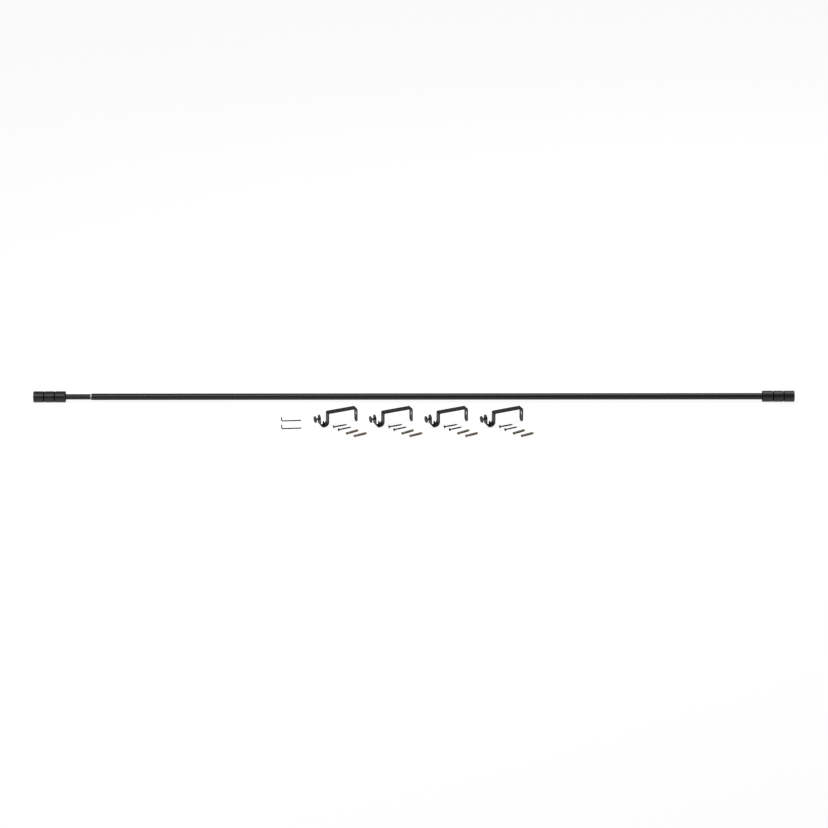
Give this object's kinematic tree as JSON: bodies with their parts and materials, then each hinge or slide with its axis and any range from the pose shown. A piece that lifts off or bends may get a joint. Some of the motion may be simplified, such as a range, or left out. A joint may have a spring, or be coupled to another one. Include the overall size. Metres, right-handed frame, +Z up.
{
  "type": "curtain rod",
  "caption": "Telescoping black steel curtain rod with cylinder finials, laid out with its cup brackets, wall screws, wall plugs and hex keys.",
  "frame": {"origin": "middle of the whole kit's footprint, on the table top that the pieces lie on", "axes": "+X along the rod, from its thin end to its thick end; +Y from the brackets to the rod, away from the viewer; +Z up"},
  "size_m": [2.1926, 0.2646, 0.044],
  "materials": {
    "tube_finish": "satin black powder coat on steel tube",
    "finial_finish": "satin black enamel on a turned steel shell",
    "bracket_finish": "satin black powder coat on steel strip",
    "black_oxide": "black oxide on steel",
    "black_nylon": "moulded black nylon",
    "clear_liner": "milky extruded polyethylene",
    "plug_nylon": "moulded grey-brown nylon"
  },
  "bodies": {
    "root": {"outer_tube": "tube_finish", "tube_sleeve": "clear_liner"},
    "inner_rod": {"inner_tube": "tube_finish", "guide_plug": "black_nylon"},
    "left_finial": {"left_finial_shell": "finial_finish", "left_finial_core": "black_nylon", "left_finial_reducer": "black_nylon"},
    "left_grub": {"left_finial_grub": "black_oxide"},
    "right_finial": {"right_finial_shell": "finial_finish", "right_finial_core": "black_nylon"},
    "right_grub": {"right_finial_grub": "black_oxide"},
    "bracket_1": {"bracket_strap_1": "bracket_finish"},
    "thumb_screw_1": {"thumb_knob_1": "bracket_finish", "thumb_shank_1": "black_oxide"},
    "seat_screw_1": {"seat_screw_1": "black_oxide"},
    "fixings_1": {"wall_screws_1": "black_oxide", "wall_plugs_1": "plug_nylon"},
    "bracket_2": {"bracket_strap_2": "bracket_finish"},
    "thumb_screw_2": {"thumb_knob_2": "bracket_finish", "thumb_shank_2": "black_oxide"},
    "seat_screw_2": {"seat_screw_2": "black_oxide"},
    "fixings_2": {"wall_screws_2": "black_oxide", "wall_plugs_2": "plug_nylon"},
    "bracket_3": {"bracket_strap_3": "bracket_finish"},
    "thumb_screw_3": {"thumb_knob_3": "bracket_finish", "thumb_shank_3": "black_oxide"},
    "seat_screw_3": {"seat_screw_3": "black_oxide"},
    "fixings_3": {"wall_screws_3": "black_oxide", "wall_plugs_3": "plug_nylon"},
    "bracket_4": {"bracket_strap_4": "bracket_finish"},
    "thumb_screw_4": {"thumb_knob_4": "bracket_finish", "thumb_shank_4": "black_oxide"},
    "seat_screw_4": {"seat_screw_4": "black_oxide"},
    "fixings_4": {"wall_screws_4": "black_oxide", "wall_plugs_4": "plug_nylon"},
    "hex_key_1": {"hex_key_1": "black_oxide"},
    "hex_key_2": {"hex_key_2": "black_oxide"}
  },
  "joints": [
    {"name": "rod_telescope", "type": "slide", "parent": "root", "child": "inner_rod", "axis": [-1, 0, 0], "range_m": [-0.071, 1.4667]},
    {"name": "left_finial_pull", "type": "slide", "parent": "inner_rod", "child": "left_finial", "axis": [-1, 0, 0], "range_m": [0, 0.055]},
    {"name": "right_finial_pull", "type": "slide", "parent": "root", "child": "right_finial", "axis": [1, 0, 0], "range_m": [0, 0.055]},
    {"name": "left_grub_travel", "type": "slide", "parent": "left_finial", "child": "left_grub", "axis": [0, 1, 0], "range_m": [0, 0.0025]},
    {"name": "right_grub_travel", "type": "slide", "parent": "right_finial", "child": "right_grub", "axis": [0, 1, 0], "range_m": [0, 0.0025]},
    {"name": "bracket_1_lift", "type": "slide", "parent": "root", "child": "bracket_1", "axis": [0, 0, 1], "range_m": [0, 0.12]},
    {"name": "thumb_screw_1_travel", "type": "slide", "parent": "bracket_1", "child": "thumb_screw_1", "axis": [0.9164, 0.4003, 0], "range_m": [-0.0015, 0.0069]},
    {"name": "seat_screw_1_travel", "type": "slide", "parent": "bracket_1", "child": "seat_screw_1", "axis": [0, 0, -1], "range_m": [0, 0.01]},
    {"name": "fixings_1_lift", "type": "slide", "parent": "root", "child": "fixings_1", "axis": [0, 0, 1], "range_m": [0, 0.06]},
    {"name": "bracket_2_lift", "type": "slide", "parent": "root", "child": "bracket_2", "axis": [0, 0, 1], "range_m": [0, 0.12]},
    {"name": "thumb_screw_2_travel", "type": "slide", "parent": "bracket_2", "child": "thumb_screw_2", "axis": [0.9164, 0.4003, 0], "range_m": [-0.0015, 0.0069]},
    {"name": "seat_screw_2_travel", "type": "slide", "parent": "bracket_2", "child": "seat_screw_2", "axis": [0, 0, -1], "range_m": [0, 0.01]},
    {"name": "fixings_2_lift", "type": "slide", "parent": "root", "child": "fixings_2", "axis": [0, 0, 1], "range_m": [0, 0.06]},
    {"name": "bracket_3_lift", "type": "slide", "parent": "root", "child": "bracket_3", "axis": [0, 0, 1], "range_m": [0, 0.12]},
    {"name": "thumb_screw_3_travel", "type": "slide", "parent": "bracket_3", "child": "thumb_screw_3", "axis": [0.9164, 0.4003, 0], "range_m": [-0.0015, 0.0069]},
    {"name": "seat_screw_3_travel", "type": "slide", "parent": "bracket_3", "child": "seat_screw_3", "axis": [0, 0, -1], "range_m": [0, 0.01]},
    {"name": "fixings_3_lift", "type": "slide", "parent": "root", "child": "fixings_3", "axis": [0, 0, 1], "range_m": [0, 0.06]},
    {"name": "bracket_4_lift", "type": "slide", "parent": "root", "child": "bracket_4", "axis": [0, 0, 1], "range_m": [0, 0.12]},
    {"name": "thumb_screw_4_travel", "type": "slide", "parent": "bracket_4", "child": "thumb_screw_4", "axis": [0.9164, 0.4003, 0], "range_m": [-0.0015, 0.0069]},
    {"name": "seat_screw_4_travel", "type": "slide", "parent": "bracket_4", "child": "seat_screw_4", "axis": [0, 0, -1], "range_m": [0, 0.01]},
    {"name": "fixings_4_lift", "type": "slide", "parent": "root", "child": "fixings_4", "axis": [0, 0, 1], "range_m": [0, 0.06]},
    {"name": "hex_key_1_lift", "type": "slide", "parent": "root", "child": "hex_key_1", "axis": [0, 0, 1], "range_m": [0, 0.06]},
    {"name": "hex_key_2_lift", "type": "slide", "parent": "root", "child": "hex_key_2", "axis": [0, 0, 1], "range_m": [0, 0.06]}
  ]
}
